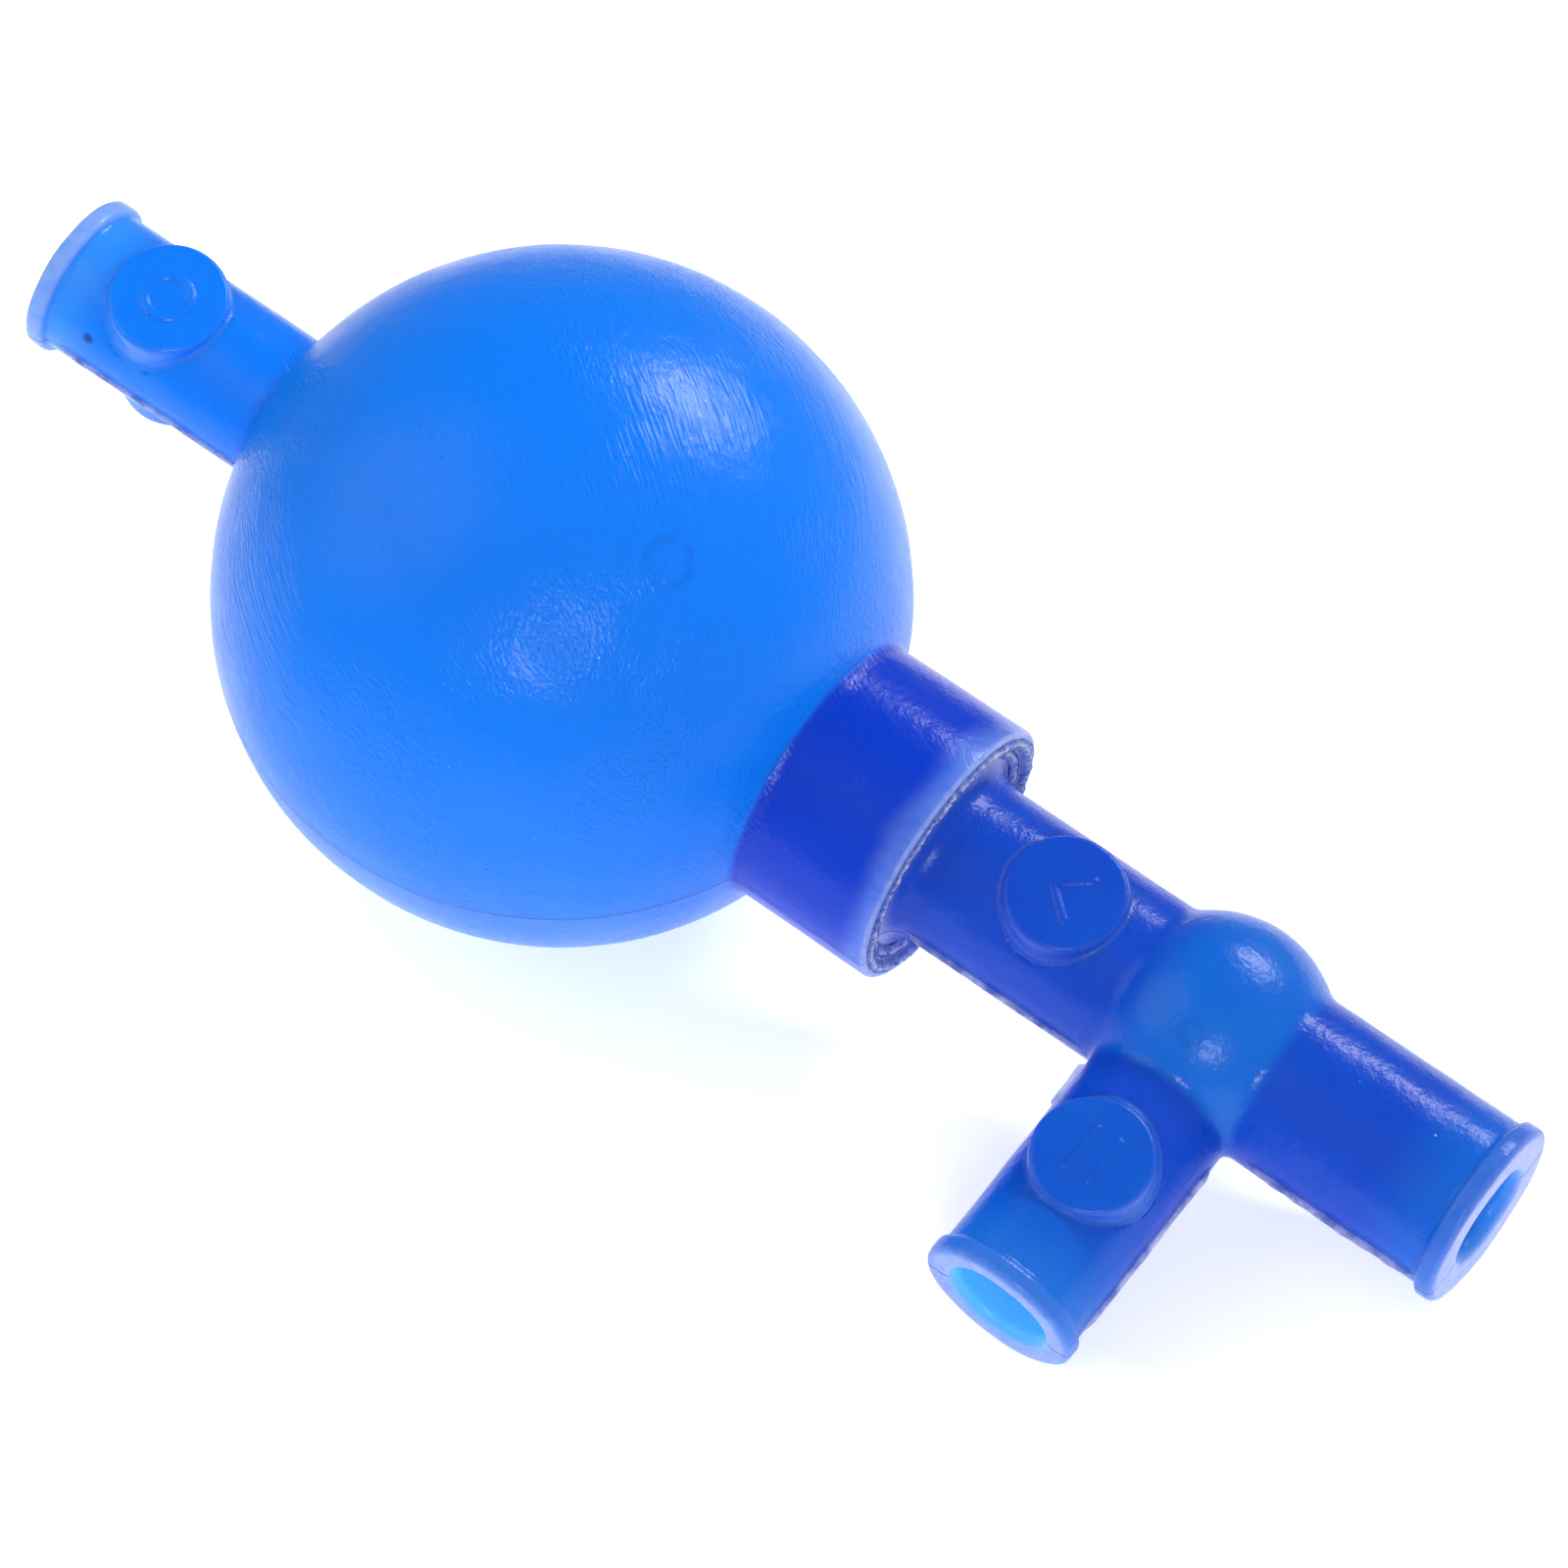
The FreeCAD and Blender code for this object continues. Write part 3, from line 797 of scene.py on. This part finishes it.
# ---- glue, flash and glass -----------------------------------------------------------------
def glue():
    """Crust of dried glue in the recess between collar and plug, spread over the collar's lip."""
    angles = np.radians(np.arange(0, 360, 0.7))
    lip, deep = COLLAR_END, PLUG_END
    outline = [(deep - 0.1, 9.5), (deep - 0.1, COLLAR_BORE_R + 0.05), (lip - 0.15, COLLAR_BORE_R + 0.1),
               (lip - 0.12, 11.8), (lip + 0.06, 11.7), (lip + 0.26, 11.1), (lip + 0.05, 10.8),
               (deep + 0.35, 10.45), (deep + 0.62, 10.0), (deep + 0.2, 9.35)]
    loop = np.concatenate([run(a, b, 5) for a, b in zip(outline, outline[1:] + outline[:1])])
    points, faces = lathe(loop, angles)
    r = np.hypot(points[:, 1], points[:, 2])
    rough = ripple(points, 2.9, 4.0) + 0.8 * ripple(points, 0.9, 2.0) + 0.6 * ripple(points, 0.43, 5.0)
    free = (points[:, 0] > lip) | ((points[:, 0] > deep + 0.1) & (r < COLLAR_BORE_R))
    points[:, 0] += 0.11 * rough * free
    spill = 1 + 0.03 * np.maximum(ripple(points, 6.0, 1.0), 0) * (r > 11.4)
    points[:, 1:] *= spill[:, None]
    crest = np.exp(-((r - 11.15) / 0.28) ** 2) + np.exp(-((r - 9.95) / 0.22) ** 2)
    made = dress(make_object("glue_crust", points, faces, crest=crest), glue_material(), "adhesive")
    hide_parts("adhesive_bead")
    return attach(made, FILLER)


def fin(name, start, end, outward, base_r, tallest, seed, slot, material):
    """Ribbon of moulding flash on the parting line, from start to end along a tube's axis."""
    count = 150                          # sections along it, of four corners each
    t = np.linspace(0, 1, count)
    axis = np.asarray(start)[None] + t[:, None] * (np.asarray(end) - np.asarray(start))
    ragged = 0.8 + 0.14 * ripple(axis, 11.0, seed) + 0.06 * ripple(axis, 2.3, seed)
    height = tallest * ragged * ramp(t, 0, 0.12) * (1 - ramp(t, 0.9, 1.0)) + 0.02
    sway = 0.10 * ripple(axis, 5.0, seed + 1)
    corners = []
    for reach, thick in ((-0.4, -0.06), (1.0, -0.045), (1.0, 0.045), (-0.4, 0.06)):
        out = base_r + np.where(reach > 0, height, reach)
        tip = sway * (reach > 0)
        lift = (thick + tip)[:, None] * np.array([0, 0, 1])
        corners.append(axis + out[:, None] * np.asarray(outward) + lift)
    points = np.stack(corners, 1).reshape(-1, 3)
    faces = [[4 * i + a, 4 * i + b, 4 * i + 4 + b, 4 * i + 4 + a]
             for i in range(count - 1) for a, b in ((1, 0), (2, 1), (3, 2), (0, 3))]
    last = 4 * (count - 1)
    faces += [[0, 1, 2, 3], [last + 3, last + 2, last + 1, last]]
    made = dress(make_object(name, points, faces), material, slot)
    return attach(made, FILLER)


def fins():
    """Flash in the five places where the mould closed least well."""
    flash = flash_material()
    x, down, forth, back = JUNCTION_X, (0, -1, 0), (1, 0, 0), (-1, 0, 0)
    rubber = "tee_rubber"
    for row in (
        ("flash_socket", (77, 0, 0), (P_END - 1.7, 0, 0), down, P_TUBE_R, 0.7, 1.0, rubber),
        ("flash_stem", (41.8, 0, 0), (60.5, 0, 0), down, STEM_R, 0.55, 2.0, rubber),
        ("flash_branch_right", (x, -28.8, 0), (x, -9.5, 0), forth, E_TUBE_R, 0.55, 3.0, rubber),
        ("flash_branch_left", (x, -8.5, 0), (x, -13.5, 0), back, E_TUBE_R, 0.6, 4.0, rubber),
        ("flash_air_outlet", (-50.5, 0, 0), (-29.5, 0, 0), down, A_TUBE_R, 0.45, 5.0, "bulb_rubber"),
    ):
        fin(*row, flash)


def dress_glass():
    glass = glass_material()
    for valve in "ase":
        node = frame["nodes"][f"{valve}_valve_ball"]
        node.data.materials.clear()
        node.data.materials.append(glass)


# ---- camera, light, floor ------------------------------------------------------------------
# Rows: the picture's right, up and towards-the-viewer directions in the filler's frame.
VIEW_AXES = Matrix(((0.8012, 0.5982, -0.0116), (-0.5384, 0.7292, 0.4224), (0.2611, -0.3322, 0.9063)))
VIEW_OFFSET = Vector((-18.98, 16.06, -770.97))      # the ball's centre, seen from the camera, mm
LENS = 207.4


def square_up(m):
    """Nearest rotation to m."""
    u, _, v = np.linalg.svd(np.array(m))
    return Matrix((u @ v).tolist())


def camera():
    """Long lens, at the place and turn that VIEW_AXES and VIEW_OFFSET give."""
    axes = square_up(VIEW_AXES)
    data = bpy.data.cameras.new("camera")
    data.lens = LENS
    data.sensor_width = 36.0
    data.clip_start, data.clip_end = 0.01, 20.0
    made = bpy.data.objects.new("camera", data)
    bpy.context.scene.collection.objects.link(made)
    spot = -(axes.transposed() @ VIEW_OFFSET)
    made.matrix_world = Matrix.Translation(row_point(*spot)) @ (TURN @ axes.transposed()).to_4x4()
    bpy.context.scene.camera = made
    return made


def softbox(name, direction, distance, size, power, view):
    """Area light that shines on the filler; direction is the picture's right, up, towards viewer.
    Its longer side, the size's first number, runs along the filler."""
    data = bpy.data.lights.new(name, "AREA")
    data.shape = "ELLIPSE"
    data.size, data.size_y = size
    data.energy = power
    made = bpy.data.objects.new(name, data)
    bpy.context.scene.collection.objects.link(made)
    aim = row_point(20, 0, 0)
    back = (view.matrix_world.to_3x3() @ Vector(direction)).normalized()
    made.location = aim + back * distance
    across = back.cross(ALONG).normalized()
    made.rotation_mode = "QUATERNION"
    made.rotation_quaternion = Matrix((across.cross(back), across, back)).transposed().to_quaternion()


def surroundings(view):
    """Studio: a world that is dimmer towards the picture's top, and three soft lights."""
    world = bpy.data.worlds.new("studio")
    world.use_nodes = True
    tree = world.node_tree
    up = view.matrix_world.to_3x3() @ Vector((0, 1, 0))
    direction = tree.nodes.new("ShaderNodeTexCoord").outputs["Generated"]
    height = tree.nodes.new("ShaderNodeVectorMath")
    height.operation = "DOT_PRODUCT"
    height.inputs[1].default_value = up
    fade = tree.nodes.new("ShaderNodeMapRange")
    for name, value in (("From Min", 0.35), ("From Max", 1.0), ("To Min", 0.48), ("To Max", 0.18)):
        fade.inputs[name].default_value = value
    tree.links.new(direction, height.inputs[0])
    tree.links.new(height.outputs["Value"], fade.inputs["Value"])
    background = tree.nodes["Background"]
    background.inputs["Color"].default_value = (1.0, 1.0, 1.0, 1.0)
    tree.links.new(fade.outputs["Result"], background.inputs["Strength"])
    bpy.context.scene.world = world
    softbox("key", (0.55, 0.81, 0.14), 0.9, (0.5, 0.14), 5.0, view)
    softbox("front", (-0.07, -0.29, 0.955), 0.9, (0.2, 0.2), 2.5, view)
    softbox("fill", (-0.75, 0.45, 0.48), 0.9, (0.9, 0.9), 2.4, view)
    bpy.context.scene.view_settings.view_transform = "Standard"


def floor():
    """Pale table that gives off a little light of its own near the filler, so that shadows stay
    faint. Its colour turns grey further out: a painted pool of light round the filler."""
    own_light = 0.52
    near_end, far_start = 0.12, 0.26     # m from the filler
    half = 4.0
    g = Graph("pale_floor")
    tint = g.mix(g.noise(0.02, 2.0), colour("F4F4F6"), colour("F8F8F9"))
    spot = g.add("NewGeometry").outputs["Position"]
    away = g.add("VectorMath", {0: spot}, operation="LENGTH").outputs["Value"]
    far = g.band(away, near_end, far_start)
    # Greyer further out: a painted pool of light round the filler.
    tint = g.mix(far, tint, colour("B8BCC2"))
    material = g.finish({
        "Base Color": tint, "Roughness": 0.9, "Specular IOR Level": 0.1,
        "Emission Color": (1, 1, 1, 1),
        "Emission Strength": g.math("MULTIPLY_ADD", far, -own_light, own_light),
    })
    mesh = bpy.data.meshes.new("floor")
    corners = [(-half, -half, 0), (half, -half, 0), (half, half, 0), (-half, half, 0)]
    mesh.from_pydata(corners, [], [(0, 1, 2, 3)])
    mesh.materials.append(material)
    made = bpy.data.objects.new("floor", mesh)
    bpy.context.scene.collection.objects.link(made)
    made.location.z = -0.0002


bulb()
a_tube()
tee()
pads("a", A_TUBE_R, ring_mark, a_tube_outside, at_a_valve, (A_VALVE, 0),
     AZURE, "bulb_rubber", tone=1.1)
pads("s", STEM_R, chevron_mark, tee_outside, at_s_valve, (S_VALVE, 0),
     ROYAL, "tee_rubber", tone=0.1)
pads("e", E_TUBE_R, bars_mark, tee_outside, at_e_valve, (JUNCTION_X, -E_VALVE),
     ROYAL, "tee_rubber", tone=0.35)
glue()
fins()
dress_glass()
view = camera()
surroundings(view)
floor()
